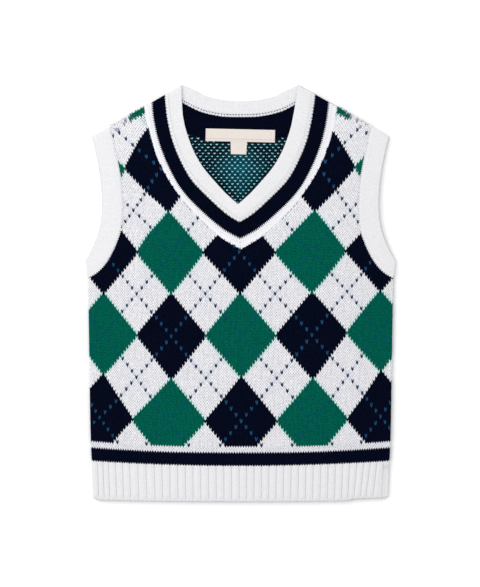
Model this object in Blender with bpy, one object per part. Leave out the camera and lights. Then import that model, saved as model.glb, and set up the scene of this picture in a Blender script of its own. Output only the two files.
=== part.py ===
# A child's knitted V-neck sweater vest, laid flat with its front up and its back flat below.
# Every piece of cloth is one closed wall with a plain inner face. Ribs are raised in the outer
# points of their band. x runs across the vest, y up from the hem, z up from what it lies on.
# Sizes are real ones in millimetres, and MM turns them into metres when a mesh is made. "left"
# is the -x side. A height h is measured along the vest, from the lowest point of the hem.

import math

import bmesh
import bpy

MM = 0.001

# Layers, from the surface up
WALL = 2.4  # body cloth, two-colour jacquard
LAYER_GAP = 0.3  # air between pieces that touch, and across every seam
SEAM_HALF = LAYER_GAP / 2
FRONT_FLOOR = WALL + LAYER_GAP
LOFT = 2.0  # how far the front stands off the back in the middle
LOFT_REACH = 70.0  # distance over which it settles towards the hem and the shoulders
HEM_LOFT = 0.4  # share of it left at the hem
FACING_WALL = 1.0  # jersey facing inside the back neck, flush with the body's inside
BACK_STRIPE_WALL = WALL - FACING_WALL - LAYER_GAP

# Edges
FOLD_REACH = 4.5  # width over which a side or shoulder edge rounds down
FOLD_LEFT = 0.4  # share of the wall left at that edge
SEAM_REACH = 1.6  # width of the furrow beside a linked seam
SEAM_DIP = 0.25  # share of the wall lost in the furrow
FREE_EDGE_LEFT = 0.45  # share of the wall left at a band's free edge

# Rib bands
BAND_WALL = 2.5
RIB_RISE = 0.6
BACK_NECK_WALL = 1.8
BACK_NECK_RISE = 0.5
FINE_RIB = ((0.0, 0), (0.5, 1))  # place within one rib, and whether the crest is there
WIDE_RIB = ((0.0, 0), (0.14, 1), (0.7, 1), (0.86, 0))
HEM_RIBS = 41
NECK_RIB_PITCH = 3.3
ARMHOLE_RIB_PITCH = 4.5
PLAIN_STEP = 7.0  # length of one facet along a band without ribs
SPLINE_STEPS = 24  # points between two rows of a table when a curve is measured

# Columns across a band: their places, and the share of the wall at each
BAND_COLUMNS = (0.0, 0.11, 0.9, 1.0)
RIB_EDGES = (FREE_EDGE_LEFT, 1.0, 1.0, 1 - SEAM_DIP)
STRIPE_EDGES = (1 - SEAM_DIP, 1.0, 1.0, 1 - SEAM_DIP)
PLAIN_EDGES = (1.0, 1.0, 1.0, 1.0)
EDGE_RISE = 0.35  # share of a rib's rise left at a band's edges
RIB_COLUMNS = (0, 1, 2, 3)  # columns of a neck or armhole table that bound its rib
STRIPE_COLUMNS = (2, 3, 4, 5)  # and those that bound the neck's stripes

# Outline of the body
HEM_BOTTOM = 147.2  # half width at the hem's lower edge
HEM_BOTTOM_LIFT = 1.8  # how much higher the hem's corners lie than its middle
RIB_TOP = 36.4  # hem rib's height in the middle
RIB_TOP_WIDTH = 148.8
RIB_TOP_LIFT = 5.0
SHOULDER_X, SHOULDER_H = 58.2, 416.2  # innermost and highest point of the shoulder fold
SHOULDER_SLOPE = 0.568
LENGTH = SHOULDER_H
WIDEST = 155.0  # half width at the underarms
UNDERARM_H = 230.0  # body row, at the centre line, that meets the underarm

# Half-width of the side edge, from the rib up to the underarm
SIDE_EDGE = (
    # x, h
    (148.8, 41.4),
    (149.8, 60.0),
    (150.6, 96.0),
    (151.1, 134.0),
    (151.8, 176.0),
    (152.3, 206.0),
    (152.7, 224.5),
)

# Sections across the front neck trim, from the V's point to the shoulder fold
FRONT_NECK = (
    # free edge x, h; rib's seam x, h; stripes' seam x, h
    (0.0, 297.0, 0.0, 279.8, 0.0, 252.1),
    (8.5, 304.6, 12.1, 287.4, 21.0, 264.9),
    (16.3, 312.4, 26.7, 300.2, 45.0, 287.0),
    (33.9, 332.8, 46.9, 321.0, 63.9, 309.4),
    (44.2, 350.2, 58.6, 341.2, 78.5, 333.3),
    (51.3, 369.0, 66.6, 361.2, 88.2, 357.0),
    (54.8, 383.6, 71.2, 380.0, 93.2, 375.8),
    (56.9, 400.0, 73.6, 396.5, 95.3, 388.0),
    (58.2, 416.2, 74.6, 406.9, 96.0, 394.8),
)

# Sections across the back neck trim, from the centre line to the shoulder fold
BACK_NECK = (
    # free edge x, h; rib's seam x, h; stripes' seam x, h
    (0.0, 399.9, 0.0, 384.4, 0.0, 358.8),
    (17.0, 401.1, 20.0, 385.2, 24.0, 360.0),
    (34.0, 405.0, 40.0, 389.8, 47.0, 365.5),
    (47.0, 411.4, 58.0, 398.6, 72.0, 379.0),
    (58.2, 416.2, 74.6, 406.9, 96.0, 394.8),
)

# Sections across an armhole band, from the underarm to the shoulder fold
ARMHOLE = (
    # free edge x, h; seam x, h
    (154.4, 240.8, 152.7, 224.5),
    (151.8, 245.4, 142.8, 230.8),
    (148.2, 252.5, 133.6, 242.0),
    (142.6, 266.0, 125.4, 258.5),
    (139.2, 280.0, 120.2, 275.5),
    (138.0, 297.0, 118.9, 296.0),
    (138.8, 315.0, 120.0, 316.0),
    (141.2, 333.0, 123.2, 336.0),
    (144.8, 351.0, 127.4, 356.0),
    (148.3, 365.1, 131.5, 374.7),
)

# Soft ridges where the front doesn't lie quite flat
CREASES = (
    # x, h, half length, half width, turn in degrees, height
    (-72, 150, 60, 15, 82, 0.8),
    (86, 186, 52, 13, -74, 0.7),
    (-22, 88, 72, 17, 8, 0.6),
    (64, 66, 46, 13, -12, 0.5),
    (-96, 236, 34, 11, 52, 0.7),
    (100, 246, 32, 10, -48, 0.6),
    (8, 212, 58, 22, -6, 0.5),
)

# Rows of the body: below the underarm, beside the armhole, and of those below the neck trim
LOWER_ROWS = 9
ARMHOLE_ROWS = 26
FRONT_ROWS_BELOW_NECK = 5
BACK_ROWS_BELOW_NECK = 17
FRONT_MIDDLE_COLUMNS = 8
BACK_MIDDLE_COLUMNS = 2

# Neck label with its size tab
LABEL_SIZE = (69.3, 12.5, 0.6)
LABEL_PLACE = (-0.3, 365.9)
LABEL_TURN = -1.3  # degrees
TAB_SIZE = (16.6, 11.6, 0.4)
TAB_PLACE = (-1.9, 352.9)
TAB_TAPER = 0.6  # how much narrower each side is at the lower edge

WHITE = (0.86, 0.86, 0.89)
NAVY = (0.004, 0.006, 0.022)
CREAM = (0.87, 0.80, 0.68)


def smooth(share):
    share = min(max(share, 0.0), 1.0)
    return share * share * (3 - 2 * share)


def mix(a, b, share):
    return tuple(p + (q - p) * share for p, q in zip(a, b))


def spline(rows, t):
    """Point at t, counted in rows, on the smooth curve through all rows."""
    i = min(int(t), len(rows) - 2)
    f = t - i
    before, after = rows[max(i - 1, 0)], rows[min(i + 2, len(rows) - 1)]
    return tuple(
        b + 0.5 * f * (c - a + f * (2 * a - 5 * b + 4 * c - d + f * (3 * (b - c) + d - a)))
        for a, b, c, d in zip(before, rows[i], rows[i + 1], after)
    )


def middle_runs(rows):
    """Length along the middle line of the rows' curves, from the first row to each."""
    middle = [(sum(p[0::2]) * 2 / len(p), sum(p[1::2]) * 2 / len(p)) for p in rows]
    runs = [0.0]
    for a, b in zip(middle, middle[1:]):
        runs.append(runs[-1] + math.dist(a, b))
    return runs


def spaced(rows, shares):
    """The curve's points at those shares of the length of its middle line."""
    count = SPLINE_STEPS * (len(rows) - 1)
    fine = [spline(rows, k / SPLINE_STEPS) for k in range(count + 1)]
    runs = middle_runs(fine)
    found = []
    k = 0
    for share in shares:
        while k < len(runs) - 2 and runs[k + 1] < share * runs[-1]:
            k += 1
        step = (share * runs[-1] - runs[k]) / (runs[k + 1] - runs[k])
        found.append(mix(fine[k], fine[k + 1], min(max(step, 0.0), 1.0)))
    return found


def shoulder_height(x):
    return SHOULDER_H - SHOULDER_SLOPE * max(abs(x) - SHOULDER_X, 0.0)


def hem_rib_top(x):
    return RIB_TOP + RIB_TOP_LIFT * (x / RIB_TOP_WIDTH) ** 2


def stand_off(x, h):
    """How far the front layer's inner face lies above the surface. It's least at the edges."""
    sides = 1 - min(abs(x) / WIDEST, 1.0) ** 6
    hem = HEM_LOFT + (1 - HEM_LOFT) * smooth(h / LOFT_REACH)
    soft = sides * hem * smooth((shoulder_height(x) - h) / LOFT_REACH)
    height = LOFT
    for cx, ch, length, width, turn, rise in CREASES:
        c, s = math.cos(math.radians(turn)), math.sin(math.radians(turn))
        along = ((x - cx) * c + (h - ch) * s) / length
        across = ((h - ch) * c - (x - cx) * s) / width
        height += rise * math.exp(-(along**2) - across**2)
    return FRONT_FLOOR + height * soft


def fold_share(distance):
    """Share of the wall left at this distance from a folded edge."""
    s = min(max(distance / FOLD_REACH, 0.0), 1.0)
    return FOLD_LEFT + (1 - FOLD_LEFT) * math.sqrt(1 - (1 - s) ** 2)


def seam_share(distance):
    """Share of the wall left at this distance from a linked seam."""
    return 1 - SEAM_DIP * max(0.0, 1 - distance / SEAM_REACH)


def shoulder_distance(x, h):
    return (shoulder_height(x) - h) / math.hypot(1, SHOULDER_SLOPE)


def principled(name, colour, roughness):
    material = bpy.data.materials.new(name)
    material.use_nodes = True
    shader = material.node_tree.nodes["Principled BSDF"]
    shader.inputs["Base Color"].default_value = (*colour, 1)
    shader.inputs["Roughness"].default_value = roughness
    shader.inputs["Metallic"].default_value = 0.0
    material.diffuse_color = (*colour, 1)
    return material


def add_object(name, points, faces, colour, vest):
    """One closed body from points in millimetres, its faces turned outwards."""
    mesh = bpy.data.meshes.new(name)
    mesh.from_pydata([tuple(v * MM for v in p) for p in points], [], faces)
    body = bmesh.new()
    body.from_mesh(mesh)
    bmesh.ops.recalc_face_normals(body, faces=body.faces)
    body.to_mesh(mesh)
    body.free()
    mesh.materials.append(principled(name, colour, 0.9))
    piece = bpy.data.objects.new(name, mesh)
    bpy.context.collection.objects.link(piece)
    piece.parent = vest
    return piece


def add_band(name, sections, across, marks, colour, vest, side=1):
    """A wall along sections. across(x, h, column, crest) gives the heights of its inner and
    outer face, and marks holds each section's crest flag."""
    points = []
    for section, crest in zip(sections, marks):
        line = [mix(section[:2], section[2:], share) for share in BAND_COLUMNS]
        line = [(side * x, h) for x, h in line]
        points += [(x, h, across(x, h, k, crest)[1]) for k, (x, h) in enumerate(line)]
        points += [(x, h, across(x, h, 0, 0)[0]) for x, h in (line[0], line[-1])]
    last = len(BAND_COLUMNS) - 1
    width = len(BAND_COLUMNS) + 2
    near, far = last + 1, last + 2  # inner points under the free edge and under the seam
    faces = []
    for k in range(len(sections) - 1):
        a, b = k * width, (k + 1) * width
        for j in range(last):
            faces.append((a + j, a + j + 1, b + j + 1, b + j))
        faces.append((a + near, b + near, b + far, a + far))
        faces.append((a, b, b + near, a + near))
        faces.append((a + last, a + far, b + far, b + last))
    for a in (0, (len(sections) - 1) * width):
        faces.append([a + j for j in range(last + 1)] + [a + far, a + near])
    return add_object(name, points, faces, colour, vest)


def trimmed(sections, first=SEAM_HALF, last=SEAM_HALF):
    """Sections drawn in at both ends by half a seam's gap."""
    done = []
    for section in sections:
        a, b = section[:2], section[2:]
        width = math.dist(a, b)
        done.append((*mix(a, b, first / width), *mix(b, a, last / width)))
    return done


def rib_places(count, rib):
    """Shares along a band, and the crest flag at each, for that many ribs."""
    places = [((k + place) / count, crest) for k in range(count) for place, crest in rib]
    return [*places, (1.0, 0)]


def band_sections(rows, columns, pitch=None):
    """Evenly spaced sections of a trim, with the crest flags of its ribs if it has any."""
    rows = [tuple(row[c] for c in columns) for row in rows]
    if pitch is None:
        count = max(round(middle_runs(rows)[-1] / PLAIN_STEP), 2)
        places = [(k / count, 0) for k in range(count + 1)]
    else:
        places = rib_places(round(middle_runs(rows)[-1] / pitch), FINE_RIB)
    return spaced(rows, [share for share, _ in places]), [crest for _, crest in places]


def front_height(edges, wall, rise, fold):
    """Heights for a band of the front layer. edges holds each column's share of the wall."""

    def across(x, h, column, crest):
        floor = stand_off(x, h)
        share = edges[column] * fold_share(fold(x, h))
        lift = rise * crest * (1.0 if 0 < column < 3 else EDGE_RISE)
        return floor, floor + wall * share + lift * fold_share(fold(x, h))

    return across


def back_height(floor, edges, wall, rise=0.0):
    """Heights for a band of the back layer, flat on the surface or on what lies below it."""

    def across(x, h, column, crest):
        lift = rise * crest * (1.0 if 0 < column < 3 else EDGE_RISE)
        return floor, floor + wall * edges[column] + lift

    return across


def mirrored(rows):
    """Rows from the centre out, made into rows from the left shoulder to the right one."""
    left = [tuple(-v if k % 2 == 0 else v for k, v in enumerate(row)) for row in rows[:0:-1]]
    return [*left, *rows]


def add_front_neck(vest):
    """The mitred rib and the two knitted stripes outside it, each in a left and right leg."""
    fold = shoulder_distance
    for label, side in (("left", -1), ("right", 1)):
        sections, marks = band_sections(FRONT_NECK, RIB_COLUMNS, NECK_RIB_PITCH)
        sections = trimmed(sections, first=0.0)
        x = SEAM_HALF
        sections[0] = (x, sections[0][1], x, sections[0][3])
        height = front_height(RIB_EDGES, BAND_WALL, RIB_RISE, fold)
        add_band(f"neck_rib_front_{label}", sections, height, marks, WHITE, vest, side)
        sections, marks = band_sections(FRONT_NECK, STRIPE_COLUMNS)
        sections = trimmed(sections)
        sections[0] = (x, sections[0][1] - x, x, sections[0][3] + x)
        height = front_height(STRIPE_EDGES, WALL, 0.0, fold)
        add_band(f"neck_stripes_front_{label}", sections, height, marks, NAVY, vest, side)


def add_back_neck(vest):
    """The back neck's rib, its stripes below, and the facing that covers them inside."""
    sections, marks = band_sections(mirrored(BACK_NECK), RIB_COLUMNS, NECK_RIB_PITCH)
    height = back_height(0.0, RIB_EDGES, BACK_NECK_WALL, BACK_NECK_RISE)
    add_band("neck_rib_back", trimmed(sections, first=0.0), height, marks, WHITE, vest)
    sections, marks = band_sections(mirrored(BACK_NECK), STRIPE_COLUMNS)
    height = back_height(0.0, PLAIN_EDGES, BACK_STRIPE_WALL)
    add_band("neck_stripes_back", trimmed(sections), height, marks, NAVY, vest)
    height = back_height(BACK_STRIPE_WALL + LAYER_GAP, PLAIN_EDGES, FACING_WALL)
    add_band("back_neck_facing", trimmed(sections), height, marks, NAVY, vest)


def add_armholes(vest):
    """A ribbed band round each armhole, its back half plain because it lies hidden."""
    for label, side in (("left", -1), ("right", 1)):
        sections, marks = band_sections(ARMHOLE, RIB_COLUMNS, ARMHOLE_RIB_PITCH)
        sections = trimmed(sections, first=0.0)
        height = front_height(RIB_EDGES, BAND_WALL, RIB_RISE, shoulder_distance)
        add_band(f"armhole_rib_front_{label}", sections, height, marks, WHITE, vest, side)
        sections, marks = band_sections(ARMHOLE, RIB_COLUMNS)
        sections = trimmed(sections, first=0.0)
        height = back_height(0.0, PLAIN_EDGES, WALL)
        add_band(f"armhole_rib_back_{label}", sections, height, marks, WHITE, vest, side)


def add_hem(vest):
    """The two-by-one rib below the body, raised on the front and plain under the back."""

    def sections_at(places):
        found = []
        for share in places:
            s = 2 * share - 1
            top = s * RIB_TOP_WIDTH
            found.append((s * HEM_BOTTOM, HEM_BOTTOM_LIFT * s * s, top, hem_rib_top(top)))
        return trimmed(found, first=0.0)

    def side_distance(x, h):
        return HEM_BOTTOM + (RIB_TOP_WIDTH - HEM_BOTTOM) * h / RIB_TOP - abs(x)

    places = rib_places(HEM_RIBS, WIDE_RIB)
    marks = [crest for _, crest in places]
    sections = sections_at([share for share, _ in places])
    height = front_height(RIB_EDGES, BAND_WALL, RIB_RISE, side_distance)
    add_band("hem_rib_front", sections, height, marks, WHITE, vest)
    count = 2 * round(HEM_BOTTOM / PLAIN_STEP)
    sections = sections_at([k / count for k in range(count + 1)])
    height = back_height(0.0, PLAIN_EDGES, WALL)
    add_band("hem_rib_back", sections, height, [0] * len(sections), WHITE, vest)


def pushed(points, distance):
    """The curve moved sideways, away from the neck opening or from the armhole."""
    moved = []
    for k, (x, h) in enumerate(points):
        (ax, ah), (bx, bh) = points[max(k - 1, 0)], points[min(k + 1, len(points) - 1)]
        run = math.hypot(bx - ax, bh - ah)
        if x == 0.0:  # on the centre line, where the two halves' curves meet
            moved.append((0.0, h - distance * run / (bx - ax)))
        else:
            moved.append((x + distance * (bh - ah) / run, h - distance * (bx - ax) / run))
    return moved


def body_rows(neck_rows, rows_below_neck):
    """Each row of half a panel: its inner end, its outer end, and whether they are folds."""
    seam = [row[4:] for row in neck_rows]
    armhole = [row[2:] for row in ARMHOLE]
    rows = []
    sides = spaced(SIDE_EDGE, [k / LOWER_ROWS for k in range(LOWER_ROWS)])
    for x, h in sides:
        share = (h - SIDE_EDGE[0][1]) / (SIDE_EDGE[-1][1] - SIDE_EDGE[0][1])
        rows.append(((0.0, RIB_TOP + (UNDERARM_H - RIB_TOP) * share), (x, h), True, True))
    outer = spaced(armhole, [k / ARMHOLE_ROWS for k in range(ARMHOLE_ROWS + 1)])
    outer = pushed(outer, -SEAM_HALF)
    above = ARMHOLE_ROWS - rows_below_neck
    inner = pushed(spaced(seam, [k / above for k in range(above + 1)]), SEAM_HALF)
    for k, end in enumerate(outer):
        if k < rows_below_neck:
            start = (0.0, UNDERARM_H + (inner[0][1] - UNDERARM_H) * k / rows_below_neck)
        else:
            start = inner[k - rows_below_neck]
        rows.append((start, end, k <= rows_below_neck, k == 0))
    return rows


def row_points(row, lift, middle_columns, edge_columns):
    """Places along one row, with their distances from its ends. Low rows curve up to the side."""
    start, end, centred, _ = row
    width = math.dist(start, end)
    far = width - edge_columns[0]
    steps = [k / middle_columns for k in range(middle_columns)]
    runs = [0.0, *(SEAM_REACH + (far - SEAM_REACH) * step for step in steps)]
    runs += [width - c for c in edge_columns]
    points = []
    for run in runs:
        share = run / width
        x, h = mix(start, end, share)
        if centred:
            h = start[1] + (end[1] - start[1]) * share**2
        points.append((x, h + lift, run, width - run))
    return points


def add_panel(name, rows, middle_columns, edge_columns, heights, vest):
    """Both halves of the front or back, one wall. heights(x, h, row, in, out) gives its faces."""
    places, partner, sheet = {}, {}, []

    def index(x, h, z):
        return places.setdefault((round(x, 4), round(h, 4), round(z, 4)), len(places))

    for side in (-1, 1):
        grid = []
        for k, row in enumerate(rows):
            line = []
            lift = 0.0 if k else SEAM_HALF
            for x, h, from_start, from_end in row_points(row, lift, middle_columns, edge_columns):
                low, high = heights(side * x, h, row, from_start, from_end)
                top = index(side * x, h, high)
                partner[top] = index(side * x, h, low)
                line.append(top)
            grid.append(line)
        for a, b in zip(grid, grid[1:]):
            sheet += [(a[j], a[j + 1], b[j + 1], b[j]) for j in range(len(a) - 1)]
    edges = {}
    for face in sheet:
        for a, b in zip(face, (*face[1:], face[0])):
            edges.setdefault(frozenset((a, b)), []).append((a, b))
    rim = [pair[0] for pair in edges.values() if len(pair) == 1]
    faces = [*sheet, *(tuple(partner[v] for v in reversed(face)) for face in sheet)]
    faces += [(b, a, partner[a], partner[b]) for a, b in rim]
    return add_object(name, list(places), faces, WHITE, vest)


def add_front_panel(vest):
    """The front body, with the hem stripes in it, rounding down at its sides and shoulders."""
    rows = body_rows(FRONT_NECK, FRONT_ROWS_BELOW_NECK)

    def heights(x, h, row, from_start, from_end):
        floor = stand_off(x, h)
        share = min(
            fold_share(from_end) if row[3] else seam_share(from_end),
            1.0 if row[2] else seam_share(from_start),
            fold_share(shoulder_distance(x, h)),
            seam_share(h - hem_rib_top(x)),
        )
        return floor, floor + WALL * share

    add_panel("front_panel", rows, FRONT_MIDDLE_COLUMNS, (5.0, 2.0, 0.7, 0.0), heights, vest)


def add_back_panel(vest):
    """The back body, flat on the surface, its underside rounding up at the sides."""
    rows = body_rows(BACK_NECK, BACK_ROWS_BELOW_NECK)

    def heights(x, h, row, from_start, from_end):
        share = fold_share(from_end) if row[3] else 1.0
        return WALL * (1 - share), WALL

    add_panel("back_panel", rows, BACK_MIDDLE_COLUMNS, (3.0, 0.0), heights, vest)


def add_tag(name, size, place, turn, taper, base, vest):
    """A flat woven label or tab, narrower by taper on each side at its lower edge."""
    width, height, wall = size
    c, s = math.cos(math.radians(turn)), math.sin(math.radians(turn))
    low, top, half = width / 2 - taper, width / 2, height / 2
    corners = []
    for x, h in ((-low, -half), (low, -half), (top, half), (-top, half)):
        corners.append((place[0] + x * c - h * s, place[1] + x * s + h * c))
    points = [(x, h, base + z) for z in (0.0, wall) for x, h in corners]
    faces = [(3, 2, 1, 0), (4, 5, 6, 7)]
    faces += [(k, (k + 1) % 4, 4 + (k + 1) % 4, 4 + k) for k in range(4)]
    return add_object(name, points, faces, CREAM, vest)


def build_vest():
    vest = bpy.data.objects.new("vest", None)
    vest.location = (0.0, -LENGTH / 2 * MM, 0.0)
    bpy.context.collection.objects.link(vest)
    add_front_panel(vest)
    add_back_panel(vest)
    add_hem(vest)
    add_front_neck(vest)
    add_back_neck(vest)
    add_armholes(vest)
    base = WALL + LAYER_GAP
    add_tag("neck_label", LABEL_SIZE, LABEL_PLACE, LABEL_TURN, 0.0, base, vest)
    add_tag("size_tab", TAB_SIZE, TAB_PLACE, LABEL_TURN, TAB_TAPER, base, vest)


for old in list(bpy.data.objects):
    bpy.data.objects.remove(old, do_unlink=True)
build_vest()
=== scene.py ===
# Child's argyle sweater vest with a V-neck, knitted stitch by stitch and laid flat with its front up.
# x runs across the vest, y from the hem to the neck and z up. Lengths are in millimetres until mm turns
# them into metres. A height h is measured up the vest, from the lowest point of the hem.
import math

import bmesh
import bpy
import numpy as np
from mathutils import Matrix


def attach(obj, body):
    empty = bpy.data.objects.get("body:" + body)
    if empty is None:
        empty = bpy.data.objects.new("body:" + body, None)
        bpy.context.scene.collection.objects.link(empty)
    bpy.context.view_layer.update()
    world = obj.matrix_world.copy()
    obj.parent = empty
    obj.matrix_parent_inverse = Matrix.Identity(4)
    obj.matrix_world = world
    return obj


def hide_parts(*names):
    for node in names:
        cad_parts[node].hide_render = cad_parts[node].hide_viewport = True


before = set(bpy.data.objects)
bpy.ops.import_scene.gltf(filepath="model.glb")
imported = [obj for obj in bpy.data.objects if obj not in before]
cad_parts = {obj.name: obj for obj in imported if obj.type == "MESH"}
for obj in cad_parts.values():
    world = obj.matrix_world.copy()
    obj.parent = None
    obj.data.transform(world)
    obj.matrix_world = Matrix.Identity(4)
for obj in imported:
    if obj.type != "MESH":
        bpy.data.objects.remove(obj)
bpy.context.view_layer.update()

mm = 0.001
vestLength = 416.2

# Body cloth: how thick it is, and how it lies on the surface and over the back
cloth = dict(
    wall=2.4, gap=0.3, seamHalf=0.15,
    loft=2.0, loftReach=70.0, hemLoft=0.4,
    foldReach=4.5, foldLeft=0.4, seamReach=1.6, seamDip=0.08,
    facingWall=1.0,
    underarm=230.0, widest=155.0,
    hemTop=36.4, hemTopWidth=148.8, hemTopLift=5.0, hemWidth=147.2, hemLift=1.8,
    shoulderX=58.2, shoulderSlope=0.568,
)
cloth["floor"] = cloth["wall"] + cloth["gap"]

# Soft ridges where the front doesn't lie quite flat: x, h, half length, half width, turn in degrees, height
creases = (
    (-72, 150, 60, 15, 82, 0.8),
    (86, 186, 52, 13, -74, 0.7),
    (-22, 88, 72, 17, 8, 0.6),
    (64, 66, 46, 13, -12, 0.5),
    (-96, 236, 34, 11, 52, 0.7),
    (100, 246, 32, 10, -48, 0.6),
    (8, 212, 58, 22, -6, 0.5),
)

# Outline of the right half, as x, h pairs. The left half mirrors it.
sideEdge = (
    (148.8, 41.4), (149.8, 60.0), (150.6, 96.0), (151.1, 134.0), (151.8, 176.0), (152.3, 206.0),
    (152.7, 224.5),
)
frontNeck = (  # free edge, rib's seam, stripes' seam, from the point of the V to the shoulder
    (0.0, 297.0, 0.0, 279.8, 0.0, 252.1),
    (8.5, 304.6, 12.1, 287.4, 21.0, 264.9),
    (16.3, 312.4, 26.7, 300.2, 45.0, 287.0),
    (33.9, 332.8, 46.9, 321.0, 63.9, 309.4),
    (44.2, 350.2, 58.6, 341.2, 78.5, 333.3),
    (51.3, 369.0, 66.6, 361.2, 88.2, 357.0),
    (54.8, 383.6, 71.2, 380.0, 93.2, 375.8),
    (56.9, 400.0, 73.6, 396.5, 95.3, 388.0),
    (58.2, 416.2, 74.6, 406.9, 96.0, 394.8),
)
backNeck = (  # the same three, from the centre to the shoulder
    (0.0, 399.9, 0.0, 384.4, 0.0, 358.8),
    (17.0, 401.1, 20.0, 385.2, 24.0, 360.0),
    (34.0, 405.0, 40.0, 389.8, 47.0, 365.5),
    (47.0, 411.4, 58.0, 398.6, 72.0, 379.0),
    (58.2, 416.2, 74.6, 406.9, 96.0, 394.8),
)
armhole = (  # free edge and seam, from the underarm to the shoulder
    (154.4, 240.8, 152.7, 224.5),
    (151.8, 245.4, 142.8, 230.8),
    (148.2, 252.5, 133.6, 242.0),
    (142.6, 266.0, 125.4, 258.5),
    (139.2, 280.0, 120.2, 275.5),
    (138.0, 297.0, 118.9, 296.0),
    (138.8, 315.0, 120.0, 316.0),
    (141.2, 333.0, 123.2, 336.0),
    (144.8, 351.0, 127.4, 356.0),
    (148.3, 365.1, 131.5, 374.7),
)


def smooth(share):
    share = np.clip(share, 0.0, 1.0)
    return share * share * (3 - 2 * share)


def linear(hexColour, alpha=1.0):
    channels = [int(hexColour[k:k + 2], 16) / 255 for k in (1, 3, 5)]
    return (*[c / 12.92 if c <= 0.04045 else ((c + 0.055) / 1.055) ** 2.4 for c in channels], alpha)


def addNode(tree, kind, links=None, **settings):
    node = tree.nodes.new(kind)
    for name, value in settings.items():
        setattr(node, name, value)
    for key, value in (links or {}).items():
        if isinstance(value, bpy.types.NodeSocket):
            tree.links.new(value, node.inputs[key])
        else:
            node.inputs[key].default_value = value
    return node


def calc(tree, operation, *values):
    # the result of one sum on sockets or numbers
    return addNode(tree, "ShaderNodeMath", dict(enumerate(values)), operation=operation).outputs[0]


def stacked(*columns):
    return np.stack(columns, -1)


def tableValue(value, table):
    return np.interp(value, *np.array(table).T)


def splineTable(rows, steps=24):
    # the smooth curve through all rows, and each point's share of the length of its middle line
    rows = np.array(rows, float)
    places = np.linspace(0, len(rows) - 1, steps * (len(rows) - 1) + 1)
    i = np.minimum(places.astype(int), len(rows) - 2)
    f = (places - i)[:, None]
    a, b, c, d = rows[np.maximum(i - 1, 0)], rows[i], rows[i + 1], rows[np.minimum(i + 2, len(rows) - 1)]
    curve = b + 0.5 * f * (c - a + f * (2 * a - 5 * b + 4 * c - d + f * (3 * (b - c) + d - a)))
    middle = stacked(curve[:, 0::2].mean(1), curve[:, 1::2].mean(1))
    runs = np.concatenate([[0], np.cumsum(np.hypot(*np.diff(middle, axis=0).T))])
    return curve, runs


def atShares(table, shares):
    curve, runs = table
    return stacked(*(np.interp(np.asarray(shares) * runs[-1], runs, column) for column in curve.T))


def mirrored(rows):
    left = [tuple(-v if k % 2 == 0 else v for k, v in enumerate(row)) for row in rows[:0:-1]]
    return [*left, *rows]


def shoulderHeight(x):
    return vestLength - cloth["shoulderSlope"] * np.maximum(np.abs(x) - cloth["shoulderX"], 0.0)


def shoulderDistance(x, h):
    return (shoulderHeight(x) - h) / math.hypot(1, cloth["shoulderSlope"])


def hemRibTop(x):
    return cloth["hemTop"] + cloth["hemTopLift"] * (x / cloth["hemTopWidth"]) ** 2


def standOff(x, h):
    # how far the front layer's inner face lies above the surface
    sides = 1 - np.minimum(np.abs(x) / cloth["widest"], 1.0) ** 6
    hem = cloth["hemLoft"] + (1 - cloth["hemLoft"]) * smooth(h / cloth["loftReach"])
    soft = sides * hem * smooth((shoulderHeight(x) - h) / cloth["loftReach"])
    height = cloth["loft"]
    for cx, ch, length, width, turn, rise in creases:
        c, s = math.cos(math.radians(turn)), math.sin(math.radians(turn))
        along = ((x - cx) * c + (h - ch) * s) / length
        across = ((h - ch) * c - (x - cx) * s) / width
        height = height + rise * np.exp(-(along ** 2) - across ** 2)
    return cloth["floor"] + height * soft


def foldShare(distance):
    s = np.clip(distance / cloth["foldReach"], 0.0, 1.0)
    return cloth["foldLeft"] + (1 - cloth["foldLeft"]) * np.sqrt(1 - (1 - s) ** 2)


def seamShare(distance):
    return 1 - cloth["seamDip"] * np.maximum(0.0, 1 - distance / cloth["seamReach"])


def polylineDistance(x, h, line):
    # distance of each point to the nearest place on a line
    a, b = line[:-1], line[1:]
    step = b - a
    squared = np.maximum((step ** 2).sum(1), 1e-12)
    share = ((x[:, None] - a[:, 0]) * step[:, 0] + (h[:, None] - a[:, 1]) * step[:, 1]) / squared
    share = np.clip(share, 0, 1)
    dx = x[:, None] - (a[:, 0] + share * step[:, 0])
    dh = h[:, None] - (a[:, 1] + share * step[:, 1])
    return np.sqrt((dx ** 2 + dh ** 2).min(1))


def insideLine(x, h, line):
    # whether each point lies inside a closed outline
    a, b = line, np.roll(line, -1, axis=0)
    crosses = (a[:, 1] > h[:, None]) != (b[:, 1] > h[:, None])
    rise = np.where(np.abs(b[:, 1] - a[:, 1]) < 1e-9, 1e-9, b[:, 1] - a[:, 1])
    at = a[:, 0] + (h[:, None] - a[:, 1]) * (b[:, 0] - a[:, 0]) / rise
    return (crosses & (x[:, None] < at)).sum(1) % 2 == 1


def toMetres(points):
    points = np.asarray(points, float)
    return stacked(points[..., 0], points[..., 1] - vestLength / 2, points[..., 2]) * mm


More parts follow.
